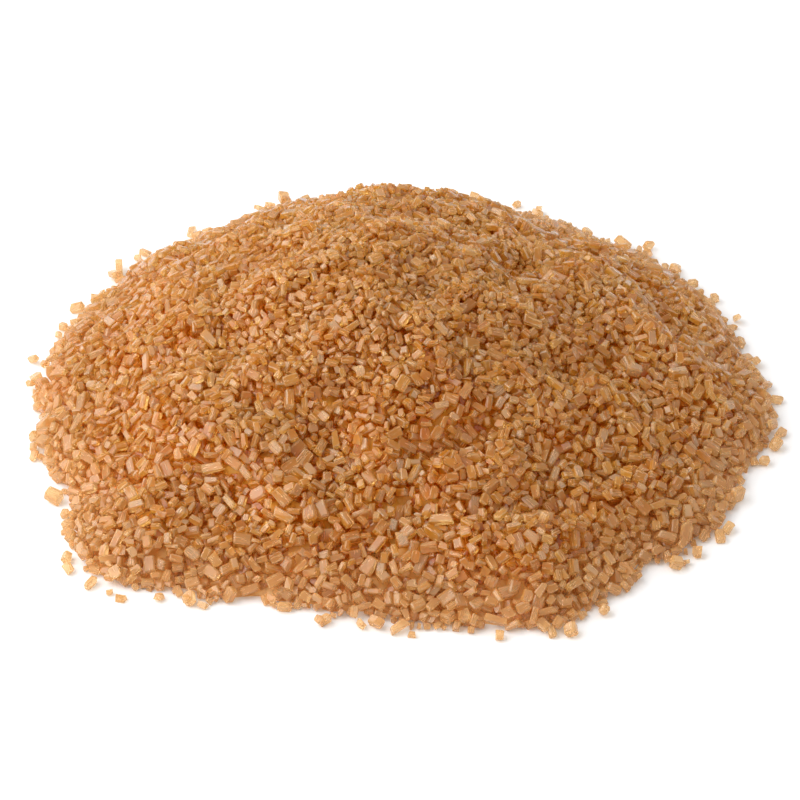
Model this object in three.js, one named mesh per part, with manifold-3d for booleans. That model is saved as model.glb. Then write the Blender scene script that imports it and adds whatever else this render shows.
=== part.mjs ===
// A poured heap of demerara sugar, as it lies on a table.
//
// Sugar that is tipped out of a scoop slides until its flanks stand at their angle of repose, so the heap
// is a low cone with a blunt crown. It is rarely even: the crown stands a little off the middle, the foot
// runs out in lobes where a slide came to rest and stays back between them, and the flanks carry swells,
// hollows and the low steps that slides leave. All of it is one solid, with a flat face on the table.
//
// Millimetres, +Z up. The origin is in the middle of the flat face. +X is the heap's long way.

import * as THREE from "three";
import { ImprovedNoise } from "three/addons/math/ImprovedNoise.js";
import { mergeVertices } from "three/addons/utils/BufferGeometryUtils.js";
import Module from "manifold-3d";

// --- Driving dimensions ---------------------------------------------------------------------------------

const HEAP_HEIGHT = 18.8; // table to crown, before the swells are added
const FOOT_REACH = 38.6; // from the middle to the foot, between the lobes
const FOOT_THICKNESS = 0.8; // the last crystals lie one deep
const CROWN = new THREE.Vector2(-1, 3); // where the crown stands over the foot
const CROWN_BLUNTNESS = 0.5; // 0 is a sharp cone, 1 a dome

// Where the foot runs out (+) or stays back (-): bearing and half-width in degrees from +X, reach in mm.
const FOOT_LOBES = [
  { bearing: 20, halfWidth: 20, reach: 1.6 },
  { bearing: 104, halfWidth: 16, reach: 1.4 },
  { bearing: 180, halfWidth: 20, reach: 1.0 },
  { bearing: 224, halfWidth: 11, reach: 4.2 },
  { bearing: 258, halfWidth: 18, reach: -2.6 },
  { bearing: 293, halfWidth: 11, reach: 2.8 },
  { bearing: 324, halfWidth: 9, reach: 1.8 },
  { bearing: 352, halfWidth: 12, reach: 2.6 },
];

// Unevenness of the flanks, from the broadest swell to single clumps: how wide, and how high or deep.
const SWELLS = [
  { width: 19, depth: 1.6 },
  { width: 8, depth: 1.3 },
  { width: 3.6, depth: 1.1 },
];

// The low steps that slides leave across the flanks: from one to the next, how long, and how high.
const STEPS = { width: 5, length: 15, depth: 1.4 };
const STEPS_BEGIN = [0.05, 0.3]; // they fade in over this stretch of the way from crown to foot

// Scars of single slides, hollow (-) or heaped up (+): their middle and half-lengths in mm, the way they run
// in degrees from +X, and how high they are.
const SCARS = [
  { x: 7, y: 11, along: 12, across: 9, bearing: -20, height: -2.0 }, // the crown falls away on its far side
  { x: 4, y: -3, along: 9, across: 2, bearing: 22, height: -0.5 }, // the hollow below the crown
  { x: 6.6, y: -19.9, along: 6.5, across: 1.3, bearing: 31, height: -1.5 }, // a furrow and the bank above it
  { x: 5.6, y: -17.4, along: 6, across: 1.3, bearing: 31, height: 0.9 },
  { x: 15.1, y: -15.9, along: 2.4, across: 1.7, bearing: 20, height: 0.7 },
  { x: -10.4, y: -16.3, along: 4, across: 1.6, bearing: -10, height: -0.9 },
  { x: 1.4, y: -26.5, along: 5.5, across: 1.3, bearing: 2, height: -1.4 }, // the ledge above the foot
  { x: 14.6, y: -26.2, along: 2.6, across: 1.3, bearing: 10, height: -1.3 },
  { x: 26.3, y: -16.9, along: 7.5, across: 1.4, bearing: 31, height: -1.3 },
  { x: -11.2, y: -25.4, along: 3.4, across: 1.6, bearing: 0, height: 0.7 },
  { x: 15.5, y: -29, along: 2.8, across: 1.6, bearing: 20, height: 0.7 },
  { x: -9.4, y: -32.3, along: 5, across: 1.4, bearing: -5, height: -1.1 },
];

// Unevenness of the line of the foot.
const FOOT_RIPPLES = [
  { width: 9, depth: 0.9 },
  { width: 3.2, depth: 1.0 },
];

// The lobes reach up the flank and the ripples hardly at all: powers of the way from crown to foot.
const LOBE_RISE = 2;
const RIPPLE_RISE = 10;

const THIN_EDGE = 1 / 6; // last share of the way, over which the relief dies out towards the foot

const CRYSTAL_STEP = 0.28; // how far single crystals stand out of the surface
const RINGS = 36; // facets from crown to foot, each about as wide as a crystal
const SIDES = 6; // sectors of the net of facets

const TABLE_DEPTH = 4; // how far the skin reaches below the table before it is cut off there
const TABLE_WIDTH = 160; // of the block that cuts it off

// --- Shape ----------------------------------------------------------------------------------------------

const noise = new ImprovedNoise();
const wasm = await Module();
wasm.setup();

// Smooth unevenness: each layer of it is read at its own level of the noise.
function unevenness(layers, x, y) {
  return layers.reduce(
    (sum, { width, depth }, level) => sum + depth * noise.noise(x / width, y / width, level + 0.5),
    0,
  );
}

function slideSteps(angle, way) {
  const { width, length, depth } = STEPS;
  const x = (FOOT_REACH / length) * Math.cos(angle);
  const y = (FOOT_REACH / length) * Math.sin(angle);
  const begin = THREE.MathUtils.smoothstep(way, ...STEPS_BEGIN);
  return depth * begin * noise.noise((FOOT_REACH / width) * way, x, y);
}

function scars(x, y) {
  return SCARS.reduce((sum, scar) => {
    const off = new THREE.Vector2(x - scar.x, y - scar.y);
    off.rotateAround(new THREE.Vector2(), -THREE.MathUtils.degToRad(scar.bearing));
    return sum + scar.height * Math.exp(-((off.x / scar.along) ** 2) - (off.y / scar.across) ** 2);
  }, 0);
}

// How far the heap runs out beyond an even cone there. The lobes fade up the flank, and the ripples sooner.
function runOut(angle, way) {
  const degrees = THREE.MathUtils.radToDeg(angle);
  const lobes = FOOT_LOBES.reduce((sum, { bearing, halfWidth, reach }) => {
    const away = THREE.MathUtils.euclideanModulo(degrees - bearing + 180, 360) - 180;
    return sum + reach * Math.exp(-((away / halfWidth) ** 2));
  }, 0);
  const ripples = unevenness(FOOT_RIPPLES, FOOT_REACH * Math.cos(angle), FOOT_REACH * Math.sin(angle));
  return lobes * way ** LOBE_RISE + ripples * way ** RIPPLE_RISE;
}

// Share of the height that is left on the way from the crown, 0, to the foot, 1.
function flank(way) {
  const drop = (at) => Math.hypot(at, CROWN_BLUNTNESS) - CROWN_BLUNTNESS;
  return 1 - drop(way) / drop(1);
}

// A fixed scatter from -1 to 1, so that every build gives the same crystals. The three numbers only stir.
function scatter(seed) {
  const value = Math.sin(seed * 12.9898 + 4.1414) * 43758.5453;
  return 2 * (value - Math.floor(value)) - 1;
}

// Takes a point of the unit ball's skin to the heap's: pole to crown, and equator to foot.
function heapPoint(onBall, seed) {
  const angle = Math.atan2(onBall.y, onBall.x);
  const way = Math.acos(Math.abs(onBall.z)) / (Math.PI / 2);
  const outward = new THREE.Vector2(Math.cos(angle), Math.sin(angle));
  const place = CROWN.clone().lerp(outward.clone().multiplyScalar(FOOT_REACH), way);
  place.addScaledVector(outward, runOut(angle, way));
  if (onBall.z < 0) return new THREE.Vector3(place.x, place.y, -TABLE_DEPTH);
  const { x, y } = place;
  const swells = unevenness(SWELLS, x, y) + slideSteps(angle, way) + scars(x, y);
  const fade = Math.min(1, (1 - way) / THIN_EDGE);
  const relief = fade * (swells + CRYSTAL_STEP * scatter(seed));
  const height = FOOT_THICKNESS + (HEAP_HEIGHT - FOOT_THICKNESS) * flank(way) + relief;
  return new THREE.Vector3(x, y, height);
}

// A ball whose facets are all about as large, from the two-pointed gem with SIDES faces above and below.
function evenBall() {
  const corners = [0, 0, 1, 0, 0, -1];
  const faces = [];
  for (let side = 0; side < SIDES; side++) {
    const angle = (2 * Math.PI * side) / SIDES;
    const here = side + 2;
    const next = ((side + 1) % SIDES) + 2;
    corners.push(Math.cos(angle), Math.sin(angle), 0);
    faces.push(here, next, 0, next, here, 1);
  }
  return merged(new THREE.PolyhedronGeometry(corners, faces, 1, RINGS - 1));
}

// Joins the facets of a geometry at their corners.
function merged(geometry) {
  geometry.deleteAttribute("normal");
  geometry.deleteAttribute("uv");
  return mergeVertices(geometry);
}

function asSolid(geometry) {
  return new wasm.Manifold(
    new wasm.Mesh({
      numProp: 3,
      vertProperties: geometry.getAttribute("position").array,
      triVerts: new Uint32Array(geometry.index.array),
    }),
  );
}

function asGeometry(solid) {
  const mesh = solid.getMesh();
  const geometry = new THREE.BufferGeometry();
  geometry.setAttribute("position", new THREE.BufferAttribute(mesh.vertProperties, 3));
  geometry.setIndex(new THREE.BufferAttribute(mesh.triVerts, 1));
  geometry.computeVertexNormals();
  return geometry;
}

function heapGeometry() {
  const skin = evenBall();
  const points = skin.getAttribute("position");
  const onBall = new THREE.Vector3();
  for (let i = 0; i < points.count; i++) {
    onBall.fromBufferAttribute(points, i);
    points.setXYZ(i, ...heapPoint(onBall, i));
  }
  const block = new THREE.BoxGeometry(TABLE_WIDTH, TABLE_WIDTH, 2 * TABLE_DEPTH);
  block.translate(0, 0, -TABLE_DEPTH);
  const heap = asGeometry(asSolid(skin).subtract(asSolid(merged(block))));
  heap.computeBoundingBox();
  const middle = heap.boundingBox.getCenter(new THREE.Vector3());
  return heap.translate(-middle.x, -middle.y, 0);
}

// --- Model ----------------------------------------------------------------------------------------------

const sugar = new THREE.MeshStandardMaterial({ color: "#b87a44", roughness: 0.35, metalness: 0, flatShading: true });

const heap = new THREE.Mesh(heapGeometry(), sugar);
heap.name = "sugar_heap";

const part = new THREE.Group();
part.add(heap);

export default part;
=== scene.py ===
"""The looks of a poured heap of demerara sugar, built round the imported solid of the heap.

The solid gives the heap's skin. Under the skin lies a core with a crystalline relief. Single crystals in
several habits are then let fall on it, one after another, until they fill the heap up to its skin.
"""

import math

import bmesh
import bpy
import numpy as np
from mathutils import Matrix, Vector, noise
from mathutils.bvhtree import BVHTree


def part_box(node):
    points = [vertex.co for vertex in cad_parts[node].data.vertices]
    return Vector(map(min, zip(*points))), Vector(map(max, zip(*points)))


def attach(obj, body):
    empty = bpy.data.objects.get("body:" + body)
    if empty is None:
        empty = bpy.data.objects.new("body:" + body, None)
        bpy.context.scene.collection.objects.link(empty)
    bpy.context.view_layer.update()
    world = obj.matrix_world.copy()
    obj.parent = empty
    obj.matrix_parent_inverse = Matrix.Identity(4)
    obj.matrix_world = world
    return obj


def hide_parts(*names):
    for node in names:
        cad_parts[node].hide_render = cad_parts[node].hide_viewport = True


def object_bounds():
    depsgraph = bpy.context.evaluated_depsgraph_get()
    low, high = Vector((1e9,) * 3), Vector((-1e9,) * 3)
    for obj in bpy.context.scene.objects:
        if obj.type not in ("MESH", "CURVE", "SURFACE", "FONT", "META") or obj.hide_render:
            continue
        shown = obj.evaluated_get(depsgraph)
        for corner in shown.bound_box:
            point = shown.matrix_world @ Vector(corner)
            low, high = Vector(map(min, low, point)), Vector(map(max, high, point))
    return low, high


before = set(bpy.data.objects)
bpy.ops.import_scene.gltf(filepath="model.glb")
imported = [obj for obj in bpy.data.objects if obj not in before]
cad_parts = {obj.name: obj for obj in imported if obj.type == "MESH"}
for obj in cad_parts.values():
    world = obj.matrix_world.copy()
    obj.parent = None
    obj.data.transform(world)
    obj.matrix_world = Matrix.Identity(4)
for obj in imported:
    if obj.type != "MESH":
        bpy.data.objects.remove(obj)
CAD_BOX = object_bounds()

MM = 0.001
HEAP_NODE = "sugar_heap"
BODY = "root"
SEED = 7  # every run lets the same crystals fall

# --- Sizes, in metres ---------------------------------------------------------------------------------

CORE_DEPTH = 1.8 * MM  # how far the core lies under the skin
CORE_CUTS = 2  # each edge of the core's facets is cut this often, to carry the relief
CORE_GRAIN = 1.1 * MM  # width of one crystal in the core's relief
CORE_GRAIN_HEIGHT = 0.5 * MM
TOUCHING = 0.001 * MM  # corners nearer than this are one, and corners lower than this are on the table
CORE_CLEAR = 0.02 * MM  # the relief stays this far over the table

CELL = 0.12 * MM  # grid on which the crystals settle
BARE_TABLE = 6 * MM  # how far the grid goes on round the heap
SLOPE_WIDTH = 2 * MM  # the lie of the slope is read without anything narrower
CRYSTAL_LENGTH = 1.02 * MM  # the usual crystal at the crown
LENGTH_SPREAD = 0.22  # of the logarithm of the length
LENGTH_RANGE = (0.6 * MM, 1.95 * MM)
COARSER_AT_FOOT = 0.6  # large crystals roll furthest, so the foot is coarser by this share
SETTLE_IN = 0.1 * MM  # how far a crystal works in between its neighbours
BEARING = 0.85  # the highest rest of its underside goes in between them altogether
TILT_SPREAD = math.radians(18)  # how far crystals lie off the slope they rest on
TUMBLED_SHARE = 0.28  # crystals that lie any way round
ON_EDGE_SHARE = 0.3  # crystals that lie on their narrow side
UNEVEN = (0.9, 1.12)  # each of a crystal's three sides is longer or shorter than its habit's by this
SNUG = 0.94  # a crystal settles as if it were this much smaller, because its corners are worn
UPRIGHT = 1e-4  # a side that leans less than this is taken to lean this much
TRIES = 12  # places that a falling crystal feels for, before it lies still in the lowest
ROLL = 0.6 * MM  # how far off they are
LEAST_GAP = 0.5 * MM  # a place is full where less room than this is left under the skin
PROUD = 0.45 * MM  # how far a crystal may stand out of the skin
PROUD_SHARE = 0.2  # and by this share of its length more
SUNKEN = -0.25 * MM  # small crystals trickle down between the others, and lie under the skin
FOOT_INSET = 0.25 * MM  # crystals keep their middles this far inside the foot's line
FALL_TOGETHER = 600  # crystals that fall in one round
PLACES_EACH = 3  # places that each of them has to choose from, and it takes the emptiest
MOST_ROUNDS = 400
FEW_OPEN = 200  # the heap is full when fewer cells than this still have room
FEW_FOUND_ROOM = 40  # or when fewer crystals than this found room in a round

FRINGE = 150  # crystals that lie against the foot, outside its line
FRINGE_REACH = 0.75 * MM  # how far out
NEAREST = 0.2  # share of that reach that each goes at least
PROUD_OUTSIDE = 1.4 * MM  # how high a crystal may stand where there is no skin under it
STRAYS = 14  # crystals that rolled clear of the foot
STRAY_REACH = 1.6 * MM  # how far they got


# --- The heap's skin and the bed on which crystals settle ----------------------------------------------


def heap_bmesh():
    """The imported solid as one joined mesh. The node's own mesh is left alone."""
    bm = bmesh.new()
    bm.from_mesh(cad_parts[HEAP_NODE].data)
    bmesh.ops.remove_doubles(bm, verts=bm.verts, dist=TOUCHING)
    return bm


class Bed:
    """Heights over a square grid of the floor: of the heap's skin, and of what lies there by now."""

    def __init__(self):
        low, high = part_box(HEAP_NODE)
        self.low = np.array([low.x - BARE_TABLE, low.y - BARE_TABLE])
        size = np.array([high.x + BARE_TABLE, high.y + BARE_TABLE]) - self.low
        self.shape = tuple(np.ceil(size / CELL).astype(int))
        self.xs = self.low[0] + (np.arange(self.shape[0]) + 0.5) * CELL
        self.ys = self.low[1] + (np.arange(self.shape[1]) + 0.5) * CELL
        self.skin = self.looked_down_on(heap_bmesh(), high.z)
        self.now = np.zeros(self.shape)
        self.inner = self.kept_inside(self.skin > 0, FOOT_INSET)
        smooth = self.smoothed(self.skin, SLOPE_WIDTH)
        self.fall_x, self.fall_y = (-g / CELL for g in np.gradient(smooth))

    @staticmethod
    def smoothed(heights, width):
        """A running mean each way, twice, for the lie of the slope without its single crystals."""
        count = int(width / CELL) | 1
        kernel = np.ones(count) / count
        for _ in range(2):
            heights = np.apply_along_axis(np.convolve, 0, heights, kernel, "same")
            heights = np.apply_along_axis(np.convolve, 1, heights, kernel, "same")
        return heights

    @staticmethod
    def kept_inside(mask, inset):
        """The mask without the strip of that width along its edge."""
        for _ in range(int(inset / CELL + 0.5)):
            inner = mask.copy()
            for axis in (0, 1):
                for way in (-1, 1):
                    inner &= np.roll(mask, way, axis)
            mask = inner
        return mask

    def looked_down_on(self, bm, top):
        """Height of a mesh at each grid point, and 0 where there is none. The mesh is used up."""
        tree = BVHTree.FromBMesh(bm)
        bm.free()
        down = Vector((0, 0, -1))
        heights = np.zeros(self.shape)
        start = Vector((0, 0, top + MM))
        for i, x in enumerate(self.xs):
            start.x = x
            for j, y in enumerate(self.ys):
                start.y = y
                hit = tree.ray_cast(start, down)[0]
                if hit is not None:
                    heights[i, j] = hit.z
        return heights

    def cell_of(self, x, y):
        return int((x - self.low[0]) / CELL), int((y - self.low[1]) / CELL)


# --- Crystals -----------------------------------------------------------------------------------------

# Every habit is made one unit long. All of these are shares of that length.
TAPER = 0.2  # a side may be drawn in by up to this
SMALL_TAPER = 0.3
SHAKE = 0.03  # how far the corners lie off a true block's
TABLET_SHAKE = 0.022
CHIP_SHAKE = 0.06
ASLANT = 0.5  # the steepest cut of a prism's end: along it, for each step across
END_BEGINS = 0.3  # from the middle to where a prism's end begins
TABLET_SIDE = 0.2  # an edge that rises more than this runs through a tablet's thickness
TWIN_LARGE, TWIN_SMALL = (0.8, 0.55, 0.5), (0.62, 0.5, 0.45)  # the two crystals of a twin
TWIN_LARGE_AT, TWIN_SMALL_AT = (-0.12, 0, 0), (0.2, 0.12, 0.06)
TWIN_WORN = 0.06  # width of their worn edges
TWIN_SPIN, TWIN_LEAN = (0.6, 1.4), (-0.4, 0.4)  # how the small one is turned, in radians
CUT_AT = (0.62, 0.85)  # from the middle towards a corner, where it is struck off
CHIP_CUTS, SMALL_CUTS = 4, 2  # corners struck off
BLOCK_FACES = 6  # of a block, before it is bevelled


def shaken(bm, rng, amount):
    """Moves each corner a little, because no crystal grows true."""
    for vert in bm.verts:
        vert.co += Vector(rng.normal(0, amount, 3))


def tapered(bm, rng, most):
    """Draws one flat side and one end in, as crystals grow faster on one side."""
    flat, end = rng.uniform(1 - most, 1, 2)
    for vert in bm.verts:
        if vert.co.z > 0:
            vert.co.x *= flat
            vert.co.y *= flat
        if vert.co.x > 0:
            vert.co.y *= end


def bevelled(bm, edges, offset):
    bmesh.ops.bevel(bm, geom=edges, offset=offset, affect="EDGES", segments=1, profile=0.5, material=-1)


def listed_alike(bm):
    """Gives every run the same list of faces. A bevel frees the places of a block's own faces in any
    order, and the next faces to be made take them, so those are sorted by their corners."""
    bm.verts.index_update()
    bm.faces.index_update()
    bm.faces.ensure_lookup_table()
    moved = sorted(bm.faces[:BLOCK_FACES], key=lambda face: min(v.index for v in face.verts))
    place = {face: number for number, face in enumerate(moved)}
    bm.faces.sort(key=lambda face: place.get(face, face.index))


def cube(size):
    """A true block of that size, for a habit to start from."""
    bm = bmesh.new()
    bmesh.ops.create_cube(bm, size=1.0)
    bmesh.ops.scale(bm, vec=size, verts=bm.verts)
    return bm


def sized(rng, width, thickness):
    """A crystal's size: as long as the unit, and as wide and thick as its habit lets it be."""
    return 1.0, rng.uniform(*width), rng.uniform(*thickness)


def block(size, worn, rng):
    """A crystal with six sides and worn edges."""
    bm = cube(size)
    tapered(bm, rng, TAPER)
    shaken(bm, rng, SHAKE)
    bevelled(bm, bm.edges[:], worn)
    return bm


def brick(rng):
    size = sized(rng, width=(0.56, 0.74), thickness=(0.45, 0.6))
    return block(size, worn=rng.uniform(0.05, 0.1), rng=rng)


def long_crystal(rng):
    """A prism whose ends are cut aslant."""
    size = sized(rng, width=(0.42, 0.56), thickness=(0.34, 0.48))
    bm = block(size, worn=rng.uniform(0.04, 0.07), rng=rng)
    for side in (-1, 1):
        lean = rng.uniform(-ASLANT, ASLANT)
        for vert in bm.verts:
            if vert.co.x * side > END_BEGINS:
                vert.co.x += side * lean * vert.co.y
    return bm


def stub(rng):
    """A short crystal with well-worn edges."""
    size = sized(rng, width=(0.8, 0.98), thickness=(0.66, 0.85))
    return block(size, worn=rng.uniform(0.1, 0.17), rng=rng)


def tablet(rng):
    """A flat crystal with both ends pointed, like a coffin lid."""
    bm = cube(sized(rng, width=(0.58, 0.76), thickness=(0.36, 0.5)))
    corners = [e for e in bm.edges if stands_up(e)]
    bevelled(bm, corners, offset=rng.uniform(0.1, 0.18))
    shaken(bm, rng, TABLET_SHAKE)
    rims = [e for e in bm.edges if not stands_up(e)]
    bevelled(bm, rims, offset=rng.uniform(0.05, 0.08))
    listed_alike(bm)
    return bm


def stands_up(edge):
    """Whether an edge runs through a tablet's thickness, and not along its rim."""
    return abs(edge.verts[0].co.z - edge.verts[1].co.z) > TABLET_SIDE


def chip(rng):
    """A broken piece: a block with corners struck off."""
    bm = cube(sized(rng, width=(0.6, 0.85), thickness=(0.45, 0.65)))
    shaken(bm, rng, CHIP_SHAKE)
    struck_off(bm, rng, CHIP_CUTS)
    return bm


def cut_off(bm, place, away):
    """Cuts off all that lies beyond a plane, and closes the cut."""
    everything = [*bm.verts, *bm.edges, *bm.faces]
    cut = bmesh.ops.bisect_plane(bm, geom=everything, plane_co=place, plane_no=away, clear_outer=True)
    rim = [g for g in cut["geom_cut"] if isinstance(g, bmesh.types.BMEdge)]
    bmesh.ops.holes_fill(bm, edges=rim)


def struck_off(bm, rng, count):
    """Cuts that many corners off."""
    for _ in range(count):
        away = Vector(rng.normal(0, 1, 3)).normalized()
        reach = max(v.co.dot(away) for v in bm.verts)
        cut_off(bm, away * reach * rng.uniform(*CUT_AT), away)


def small_crystal(rng):
    """Fine sugar, too small to show a worn edge: a block with two corners gone."""
    bm = cube(sized(rng, width=(0.6, 0.9), thickness=(0.5, 0.75)))
    tapered(bm, rng, SMALL_TAPER)
    shaken(bm, rng, SHAKE)
    struck_off(bm, rng, SMALL_CUTS)
    return bm


def twin(rng):
    """Two crystals that grew into each other."""
    bm = block(TWIN_LARGE, TWIN_WORN, rng)
    bmesh.ops.translate(bm, vec=TWIN_LARGE_AT, verts=bm.verts)
    other = block(TWIN_SMALL, TWIN_WORN, rng)
    spin = Matrix.Rotation(rng.uniform(*TWIN_SPIN), 3, "Z")
    lean = Matrix.Rotation(rng.uniform(*TWIN_LEAN), 3, "X")
    bmesh.ops.rotate(other, matrix=spin @ lean, verts=other.verts)
    bmesh.ops.translate(other, vec=TWIN_SMALL_AT, verts=other.verts)
    half = bpy.data.meshes.new("twin_half")
    other.to_mesh(half)
    other.free()
    bm.from_mesh(half)
    bpy.data.meshes.remove(half)
    listed_alike(bm)
    return bm


class Habit:
    """One kind of crystal: a few grown shapes of it, and the crystals of that kind in the heap."""

    SHAPES = 16
    WORN_AREA = 0.09  # of the crystal's length squared: smaller faces are worn edges

    def __init__(self, name, grow, share, size, rng):
        self.name, self.share, self.size = name, share, size
        self.corners, self.faces, self.worn, self.halves = [], [], [], []
        for _ in range(self.SHAPES):
            bm = grow(rng)
            bmesh.ops.recalc_face_normals(bm, faces=bm.faces)
            bm.verts.index_update()
            corners = np.array([v.co for v in bm.verts])
            middle = (corners.max(0) + corners.min(0)) / 2
            self.corners.append(corners - middle)
            self.faces.append([[v.index for v in f.verts] for f in bm.faces])
            self.worn.append([float(f.calc_area() < self.WORN_AREA) for f in bm.faces])
            self.halves.append((corners - middle).max(0))
            bm.free()
        self.grown = []


# Name, how it grows, its share of the crystals, and its length to the usual crystal's.
HABITS = (
    ("brick_crystals", brick, 0.25, 1.0),
    ("long_crystals", long_crystal, 0.22, 1.16),
    ("stub_crystals", stub, 0.16, 0.8),
    ("tablet_crystals", tablet, 0.12, 0.95),
    ("chip_crystals", chip, 0.16, 0.72),
    ("twin_crystals", twin, 0.09, 1.25),
)
FINE_SUGAR = ("small_crystals", small_crystal, 0, 0.55)  # it falls where none of the others finds room


def turned_to(normal, spin, on_edge):
    """Rotation that lays a crystal flat or on edge on a slope, spun about the slope's normal."""
    lay = Vector(normal).normalized().to_track_quat("Z", "Y").to_matrix()
    roll = math.pi / 2 if on_edge else 0
    return np.array(lay @ Matrix.Rotation(spin, 3, "Z") @ Matrix.Rotation(roll, 3, "X"))


def stamp(turn, half):
    """Underside and top of a turned crystal over the cells round its middle, and where it has any."""
    cells = int(np.linalg.norm(half) / CELL) + 1
    steps = np.arange(-cells, cells + 1) * CELL
    low, high = -np.inf, np.inf
    for axis in range(3):
        rise = turn[2, axis] if abs(turn[2, axis]) > UPRIGHT else UPRIGHT
        along = turn[0, axis] * steps[:, None] + turn[1, axis] * steps[None, :]
        one, two = (-half[axis] - along) / rise, (half[axis] - along) / rise
        low = np.maximum(low, np.minimum(one, two))
        high = np.minimum(high, np.maximum(one, two))
    return cells, low, high, low < high


def resting_place(bed, turn, half, i, j, rng):
    """The lowest place near a cell in which the crystal comes to rest: cell, height, stamp; or None."""
    cells, low, high, solid = stamp(turn, SNUG * half)
    if not solid.any():
        return None
    best = None
    reach = int(ROLL / CELL)
    for step_i, step_j in rng.integers(-reach, reach + 1, (TRIES, 2)):
        ci, cj = i + step_i, j + step_j
        if not bed.inner[ci, cj]:
            continue
        here = (slice(ci - cells, ci + cells + 1), slice(cj - cells, cj + cells + 1))
        clear = (bed.now[here] - low)[solid]
        bearing = int(BEARING * len(clear))
        height = np.partition(clear, bearing)[bearing] - SETTLE_IN
        sunk = height - bed.skin[ci, cj]
        if best is None or sunk < best[0]:
            best = (sunk, height, here, ci, cj)
    if best is None:
        return None
    _, height, here, ci, cj = best
    return height, here, ci, cj, high, solid


def let_fall(bed, habit, i, j, length, rng, proud=PROUD):
    """Lets one crystal fall at a cell. Says whether it found a place under the heap's skin."""
    which = int(rng.integers(habit.SHAPES))
    scale = length * rng.uniform(*UNEVEN, 3)
    half = habit.halves[which] * scale
    if rng.random() < TUMBLED_SHARE:
        normal = rng.normal(0, 1, 3)
    else:
        lean = np.tan(rng.normal(0, TILT_SPREAD, 2))
        normal = (bed.fall_x[i, j] + lean[0], bed.fall_y[i, j] + lean[1], 1)
    turn = turned_to(normal, rng.uniform(0, 2 * math.pi), rng.random() < ON_EDGE_SHARE)
    place = resting_place(bed, turn, half, i, j, rng)
    if place is None:
        return False
    height, here, ci, cj, high, solid = place
    underside = ((habit.corners[which] * scale) @ turn.T)[:, 2].min()
    height = max(height, -underside)
    top = height + high
    if (top - bed.skin[here])[solid].max() > proud + PROUD_SHARE * length:
        return False
    bed.now[here] = np.where(solid, np.maximum(bed.now[here], top), bed.now[here])
    place = (bed.xs[ci] + rng.uniform(-0.5, 0.5) * CELL, bed.ys[cj] + rng.uniform(-0.5, 0.5) * CELL, height)
    habit.grown.append((which, scale, turn, place, rng.random()))
    return True


def length_at(bed, i, j, rng):
    """Length of a crystal there: spread round the usual one, and coarser towards the foot."""
    height = min(bed.skin[i, j] / CAD_BOX[1].z, 1)
    usual = CRYSTAL_LENGTH * (1 + COARSER_AT_FOOT * (1 - height))
    return float(np.clip(usual * math.exp(rng.normal(0, LENGTH_SPREAD)), *LENGTH_RANGE))


def fill(bed, habits, small, rng):
    """Lets crystals fall wherever the heap is not full yet. Where one finds no room, a small one may."""
    shares = np.array([h.share for h in habits])
    shares = shares / shares.sum()
    for _ in range(MOST_ROUNDS):
        room = np.where(bed.inner, bed.skin - bed.now, 0)
        open_cells = np.argwhere(room > LEAST_GAP)
        if len(open_cells) < FEW_OPEN:
            break
        picks = open_cells[rng.integers(len(open_cells), size=(FALL_TOGETHER, PLACES_EACH))]
        deepest = room[picks[..., 0], picks[..., 1]].argmax(1)
        picks = picks[np.arange(FALL_TOGETHER), deepest]
        kinds = rng.choice(len(habits), size=FALL_TOGETHER, p=shares)
        lain = 0
        for (i, j), kind in zip(picks, kinds):
            if bed.skin[i, j] - bed.now[i, j] <= LEAST_GAP:
                continue
            habit = habits[kind]
            if let_fall(bed, habit, i, j, habit.size * length_at(bed, i, j, rng), rng):
                lain += 1
            else:
                lain += let_fall(bed, small, i, j, small.size * length_at(bed, i, j, rng), rng, SUNKEN)
        if lain < FEW_FOUND_ROOM:
            break


def scatter_round_foot(bed, habits, count, reach, rng):
    """Drops single crystals on the floor outside the line of the foot, no further off than reach."""
    low, high = CAD_BOX
    rim = np.argwhere((bed.skin > 0) & ~bed.kept_inside(bed.skin > 0, CELL))
    bed.inner[:] = True
    for i, j in rim[rng.integers(len(rim), size=count)]:
        spot = np.array([bed.xs[i], bed.ys[j]])
        out = spot / np.linalg.norm(spot)
        x, y = spot + out * reach * rng.uniform(NEAREST, 1)
        if not (low.x < x < high.x and low.y < y < high.y):
            continue
        habit = habits[int(rng.integers(len(habits)))]
        length = habit.size * length_at(bed, i, j, rng)
        let_fall(bed, habit, *bed.cell_of(x, y), length, rng, PROUD_OUTSIDE)


def add_attribute(mesh, name, kind, domain, values):
    attribute = mesh.attributes.new(name, kind, domain)
    key = "vector" if kind == "FLOAT_VECTOR" else "value"
    attribute.data.foreach_set(key, np.asarray(values, np.float32).ravel())


def gathered(habit):
    """All crystals of one habit: their corners in place and as grown, faces, and the finish's numbers."""
    rng = np.random.default_rng(len(habit.grown))
    points, grown, faces = [], [], []
    tones, facets, worn = [], [], []
    start = 0
    for which, scale, turn, place, tone in habit.grown:
        corners = habit.corners[which] * scale
        points.append(corners @ turn.T + place)
        grown.append(corners + rng.uniform(-1, 1, 3))
        faces.extend([[start + v for v in face] for face in habit.faces[which]])
        count = len(habit.faces[which])
        tones.extend([tone] * count)
        facets.extend(rng.random(count))
        worn.extend(habit.worn[which])
        start += len(corners)
    numbers = {"tone": tones, "facet": facets, "worn": worn}
    return np.concatenate(points), np.concatenate(grown), faces, numbers


def depth_in_heap(points, bed):
    """How deep corners lie, from 0 at the heap's skin to 1 at the core's."""
    cells = np.clip(((points[:, :2] - bed.low) / CELL).astype(int), 0, np.array(bed.shape) - 1)
    return np.clip((bed.skin[cells[:, 0], cells[:, 1]] - points[:, 2]) / CORE_DEPTH, 0, 1)


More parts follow.
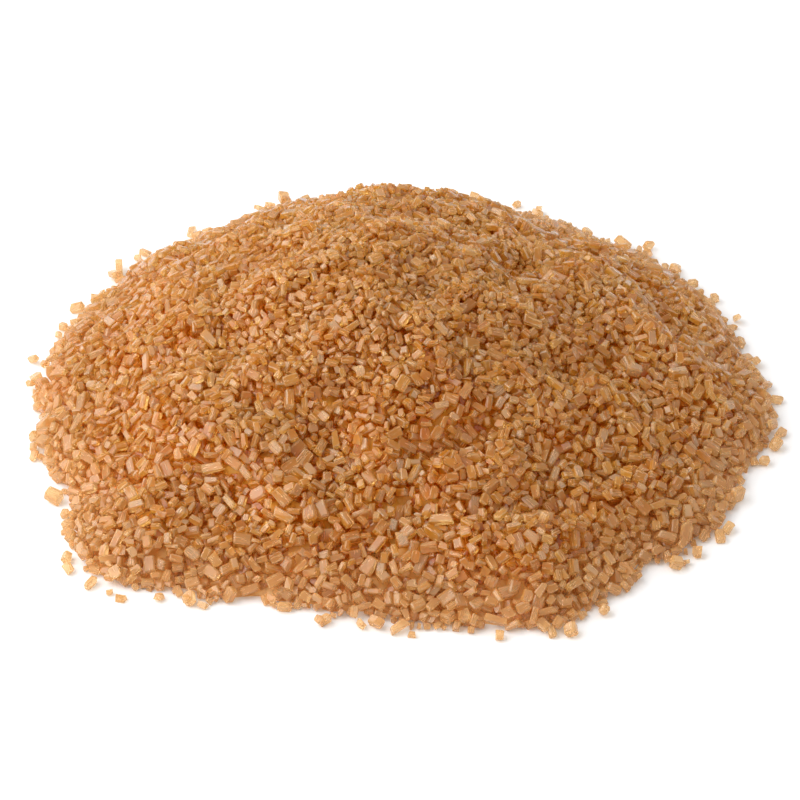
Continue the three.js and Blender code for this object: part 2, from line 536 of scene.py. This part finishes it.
def crystals_piece(habit, bed, material):
    """All crystals of one habit as one piece, with the numbers that its finish goes by."""
    points, grown, faces, numbers = gathered(habit)
    mesh = bpy.data.meshes.new(habit.name)
    mesh.from_pydata(points.tolist(), [], faces)
    for name, values in numbers.items():
        add_attribute(mesh, name, "FLOAT", "FACE", values)
    add_attribute(mesh, "grown", "FLOAT_VECTOR", "POINT", grown)
    add_attribute(mesh, "depth", "FLOAT", "POINT", depth_in_heap(points, bed))
    return sugar_piece(habit.name, mesh, material)


def sugar_piece(name, mesh, material):
    """Makes a mesh a piece of the heap, which lies with the body and takes the sugar's slot."""
    mesh.materials.append(material)
    piece = bpy.data.objects.new(name, mesh)
    bpy.context.scene.collection.objects.link(piece)
    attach(piece, BODY)
    return piece


def core_piece(material):
    """The heap under its loose crystals: the skin let down, cut off at the floor and given a relief."""
    bm = heap_bmesh()
    bmesh.ops.translate(bm, vec=(0, 0, -CORE_DEPTH), verts=bm.verts)
    cut_off(bm, Vector((0, 0, 0)), Vector((0, 0, -1)))
    bmesh.ops.triangulate(bm, faces=bm.faces)
    top = [e for e in bm.edges if max(v.co.z for v in e.verts) > TOUCHING]
    bmesh.ops.subdivide_edges(bm, edges=top, cuts=CORE_CUTS, use_grid_fill=True)
    bmesh.ops.triangulate(bm, faces=bm.faces)
    for vert in bm.verts:
        if vert.co.z > TOUCHING:
            near, _ = noise.voronoi(vert.co / CORE_GRAIN)
            vert.co.z -= CORE_GRAIN_HEIGHT * min(near[0], 1.0)
            vert.co.z = max(vert.co.z, CORE_CLEAR)
    bmesh.ops.recalc_face_normals(bm, faces=bm.faces)
    mesh = bpy.data.meshes.new("sugar_core")
    bm.to_mesh(mesh)
    bm.free()
    return sugar_piece("sugar_core", mesh, material)


# --- Materials ----------------------------------------------------------------------------------------

SUCROSE_IOR = 1.54
MOLASSES_IOR = 1.5
FILMED_IOR = 1.4  # less than sucrose has, because the film wets the neighbours and softens each step
CLOUDY = 0.47  # share of the light that the film clouds, and the rest goes straight through the crystal
GLOW = 0.4  # share of the clouded light that glows through to the other side
VEIL = 0.3 * MM  # width of the cloudy streaks in a crystal
VEIL_STRETCH = 4  # how much longer they are
VEIL_HEIGHT = 0.05 * MM
VEIL_STRENGTH = 0.12  # share of that height that shows
DAMP_PATCH = 3.5 * MM  # width of the patches where more molasses has gathered
THIN_SUGAR = 5 * MM  # light from the table comes through sugar up to this thick

# Where a layer of colour begins, and where it is full.
PAINTED_DEEP_SHADE = (0.08, 0.6)  # way from the heap's skin to the core's, over which the crystals are painted darker: painted shade between them
DAMP = (0.42, 0.66)  # of the damp patches' noise
VEILED = (0.48, 0.6)  # of the veils' noise
PALE_FACET = (0.7, 0.95)  # of a facet's own number, so three in ten are paler: painted highlights, for light reflected within the crystals
DULLED = (0.35, 0.6)  # of the veils' noise, for the roughness
CLEAR_ROUGHNESS, VEIL_ROUGHNESS = 0.04, 0.28
FILM_ROUGHNESS = 0.1  # the syrupy film is smooth
THIN_FILM, THICK_FILM = 0.2, 0.5  # how glossy it is, where a crystal is clear and where it is cloudy
PACKED_ROUGHNESS = 0.4  # many fine crystals side by side

MIX_SHARE, MIX_ONE, MIX_OTHER, MIX_RESULT = 0, 6, 7, 2  # places of a Mix node's colour sockets


def linear(hex_colour):
    """sRGB hex to the linear colour that shaders take."""
    parts = [int(hex_colour[i : i + 2], 16) / 255 for i in (1, 3, 5)]
    return (*[p / 12.92 if p <= 0.04045 else ((p + 0.055) / 1.055) ** 2.4 for p in parts], 1.0)


def node(tree, kind, inputs=(), out=0, **settings):
    """Adds a node and hands back one of its outputs. An input is a value, or the socket that feeds it."""
    made = tree.nodes.new(kind)
    for name, value in settings.items():
        setattr(made, name, value)
    for name, value in dict(inputs).items():
        if isinstance(value, bpy.types.NodeSocket):
            tree.links.new(value, made.inputs[name])
        else:
            made.inputs[name].default_value = value
    return made.outputs[out] if made.outputs else None


def bare_material(name):
    material = bpy.data.materials.new(name)
    material.use_nodes = True
    material.node_tree.nodes.clear()
    return material, material.node_tree


def tinted(tree, base, layers):
    """A colour under layers. Each lies there where its number goes from low to high, up to its share."""
    colour = linear(base)
    for number, low, high, share, blend, other in layers:
        lies = {"Value": number, "From Min": low, "From Max": high, "To Max": share}
        there = node(tree, "ShaderNodeMapRange", lies)
        inputs = {MIX_SHARE: there, MIX_ONE: colour, MIX_OTHER: linear(other)}
        colour = node(tree, "ShaderNodeMix", inputs, MIX_RESULT, data_type="RGBA", blend_type=blend)
    return colour


def sugar_crystal():
    """Demerara crystals: clear sucrose, under a film of molasses that colours and clouds its skin."""
    material, tree = bare_material("sugar_crystal")
    tone, facet, worn, depth = (
        node(tree, "ShaderNodeAttribute", out="Fac", attribute_name=name)
        for name in ("tone", "facet", "worn", "depth")
    )
    grown = node(tree, "ShaderNodeAttribute", out="Vector", attribute_name="grown")
    along = node(tree, "ShaderNodeMapping", {"Vector": grown, "Scale": (1 / VEIL_STRETCH, 1.0, 1.0)})
    veils = node(tree, "ShaderNodeTexNoise", {"Vector": along, "Scale": 1 / VEIL, "Detail": 2.0}, "Fac")
    where = node(tree, "ShaderNodeTexCoord", out="Object")
    height = node(tree, "ShaderNodeSeparateXYZ", {"Vector": where}, "Z")
    damp = node(tree, "ShaderNodeTexNoise", {"Vector": where, "Scale": 1 / DAMP_PATCH, "Detail": 1.0}, "Fac")
    sucrose = tinted(
        tree,
        "#FCD87E",
        (
            (tone, 0, 1, 1.0, "MIX", "#FCE29C"),
            # painted shade: darker and deeper amber the further under the heap's skin
            (depth, *PAINTED_DEEP_SHADE, 1.0, "MULTIPLY", "#FFE680"),
            (damp, *DAMP, 0.65, "MULTIPLY", "#F8E4B4"),
            # painted light: paler towards the table, as light from it comes through the thin sugar
            (height, THIN_SUGAR, 0, 0.85, "MIX", "#FFE6C0"),
        ),
    )
    molasses = tinted(
        tree,
        "#E09428",
        (
            (tone, 0, 1, 1.0, "MIX", "#ECA638"),
            (veils, *VEILED, 0.75, "MIX", "#FFDA9C"),
            # painted highlights: some facets paler, for light reflected within the crystals
            (facet, *PALE_FACET, 0.9, "MIX", "#FFE4BA"),
            # painted highlight: the worn edges paler, for light gathering along them
            (worn, 0, 1, 0.4, "MIX", "#FFE0B0"),
            # painted shade: darker and deeper amber the further under the heap's skin
            (depth, *PAINTED_DEEP_SHADE, 1.0, "MULTIPLY", "#FFCE50"),
            (damp, *DAMP, 0.65, "MULTIPLY", "#F0D49C"),
            # painted light: paler towards the table, as light from it comes through the thin sugar
            (height, THIN_SUGAR, 0, 0.85, "MIX", "#F6C68A"),
        ),
    )
    dulled = {
        "Value": veils,
        "From Min": DULLED[0],
        "From Max": DULLED[1],
        "To Min": CLEAR_ROUGHNESS,
        "To Max": VEIL_ROUGHNESS,
    }
    ridges = {"Height": veils, "Strength": VEIL_STRENGTH, "Distance": VEIL_HEIGHT}
    skin = {
        "Roughness": node(tree, "ShaderNodeMapRange", dulled),
        "Normal": node(tree, "ShaderNodeBump", ridges),
        "Coat Roughness": FILM_ROUGHNESS,
    }
    within = {"Base Color": sucrose, "IOR": FILMED_IOR, "Transmission Weight": 1.0, "Coat Weight": THIN_FILM}
    film = {"Base Color": molasses, "IOR": MOLASSES_IOR, "Coat Weight": THICK_FILM}
    clear = node(tree, "ShaderNodeBsdfPrincipled", {**skin, **within})
    filmed = node(tree, "ShaderNodeBsdfPrincipled", {**skin, **film})
    glow = node(tree, "ShaderNodeBsdfTranslucent", {"Color": sucrose, "Normal": skin["Normal"]})
    cloudy = node(tree, "ShaderNodeMixShader", {0: GLOW, 1: filmed, 2: glow})
    shader = node(tree, "ShaderNodeMixShader", {0: CLOUDY, 1: clear, 2: cloudy})
    node(tree, "ShaderNodeOutputMaterial", {"Surface": shader})
    return material


def packed_sugar():
    """Sugar deep in the heap, wet with molasses: amber, and lit only through the crystals above it."""
    material, tree = bare_material("packed_sugar")
    where = node(tree, "ShaderNodeTexCoord", out="Object")
    cells = node(tree, "ShaderNodeTexVoronoi", {"Vector": where, "Scale": 1 / CORE_GRAIN}, "Color")
    tone = node(tree, "ShaderNodeSeparateColor", {"Color": cells}, "Red")
    height = node(tree, "ShaderNodeSeparateXYZ", {"Vector": where}, "Z")
    # painted light: the core is paler towards the table, as light from it comes through the thin sugar
    layers = ((tone, 0, 1, 1.0, "MIX", "#F4BA4C"), (height, THIN_SUGAR, 0, 0.8, "MIX", "#F4C890"))
    colour = tinted(tree, "#ECAE40", layers)
    finish = {"Base Color": colour, "Roughness": PACKED_ROUGHNESS, "IOR": SUCROSE_IOR}
    shader = node(tree, "ShaderNodeBsdfPrincipled", finish)
    node(tree, "ShaderNodeOutputMaterial", {"Surface": shader})
    return material


# --- Camera, floor and light --------------------------------------------------------------------------

CAMERA_ELEVATION = math.radians(36)
CAMERA_DISTANCE = 300 * MM
SENSOR, LENS = 36.0, 125.55  # both in millimetres, and together they take in 86 mm across at the aim
AIM = Vector((-0.4, 0, 8)) * MM
BELOW_AIM = 6.65 * MM  # the picture's middle lies this far under the aim
NEAR_AND_FAR = (0.01, 20)

BOARD_REACH = 3.0  # from the middle to each edge
BOARD_ROUGHNESS = 0.7
STUDIO_BRIGHTNESS = 0.82
KEY_PLACE = (-0.28, -0.02, 0.26)
KEY_SIZE = (0.45, 0.45)
KEY_POWER = 1.95
KEY_AIM = Vector((0, 0, 10 * MM))


def place_camera():
    back = Vector((0, -math.cos(CAMERA_ELEVATION), math.sin(CAMERA_ELEVATION)))
    up = Vector((0, math.sin(CAMERA_ELEVATION), math.cos(CAMERA_ELEVATION)))
    camera = bpy.data.objects.new("camera", bpy.data.cameras.new("camera"))
    camera.location = AIM + back * CAMERA_DISTANCE
    middle = AIM - up * BELOW_AIM
    camera.rotation_euler = (middle - camera.location).to_track_quat("-Z", "Y").to_euler()
    camera.data.sensor_width = SENSOR
    camera.data.lens = LENS
    camera.data.clip_start, camera.data.clip_end = NEAR_AND_FAR
    bpy.context.scene.collection.objects.link(camera)
    bpy.context.scene.camera = camera


def hang_key_softbox():
    light = bpy.data.lights.new("key_softbox", "AREA")
    light.shape = "RECTANGLE"
    light.size, light.size_y = KEY_SIZE
    light.energy = KEY_POWER
    lamp = bpy.data.objects.new("key_softbox", light)
    lamp.location = KEY_PLACE
    lamp.rotation_euler = (KEY_AIM - lamp.location).to_track_quat("-Z", "Y").to_euler()
    bpy.context.scene.collection.objects.link(lamp)


def white_board():
    """The floor under the heap: matt white card."""
    material, tree = bare_material("white_board")
    finish = {"Base Color": linear("#F4F4F4"), "Roughness": BOARD_ROUGHNESS}
    shader = node(tree, "ShaderNodeBsdfPrincipled", finish)
    node(tree, "ShaderNodeOutputMaterial", {"Surface": shader})
    return material


def set_stage():
    bm = bmesh.new()
    bmesh.ops.create_grid(bm, x_segments=1, y_segments=1, size=BOARD_REACH)
    mesh = bpy.data.meshes.new("floor")
    bm.to_mesh(mesh)
    bm.free()
    floor = bpy.data.objects.new("floor", mesh)
    bpy.context.scene.collection.objects.link(floor)
    mesh.materials.append(white_board())
    world = bpy.data.worlds.new("studio")
    bpy.context.scene.world = world
    world.use_nodes = True
    world.node_tree.nodes["Background"].inputs["Color"].default_value = (1, 1, 1, 1)
    world.node_tree.nodes["Background"].inputs["Strength"].default_value = STUDIO_BRIGHTNESS
    hang_key_softbox()
    bpy.context.scene.view_settings.view_transform = "Standard"


# --- Making -------------------------------------------------------------------------------------------


def main():
    place_camera()
    rng = np.random.default_rng(SEED)
    habits = [Habit(*kind, rng) for kind in HABITS]
    core = core_piece(packed_sugar())
    bed = Bed()
    held = bmesh.new()
    held.from_mesh(core.data)
    bed.now = bed.looked_down_on(held, CAD_BOX[1].z)
    small = Habit(*FINE_SUGAR, rng)
    fill(bed, habits, small, rng)
    habits.append(small)
    scatter_round_foot(bed, habits, FRINGE, FRINGE_REACH, rng)
    scatter_round_foot(bed, habits, STRAYS, STRAY_REACH, rng)
    clear = sugar_crystal()
    for habit in habits:
        crystals_piece(habit, bed, clear)
    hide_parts(HEAP_NODE)
    set_stage()


main()
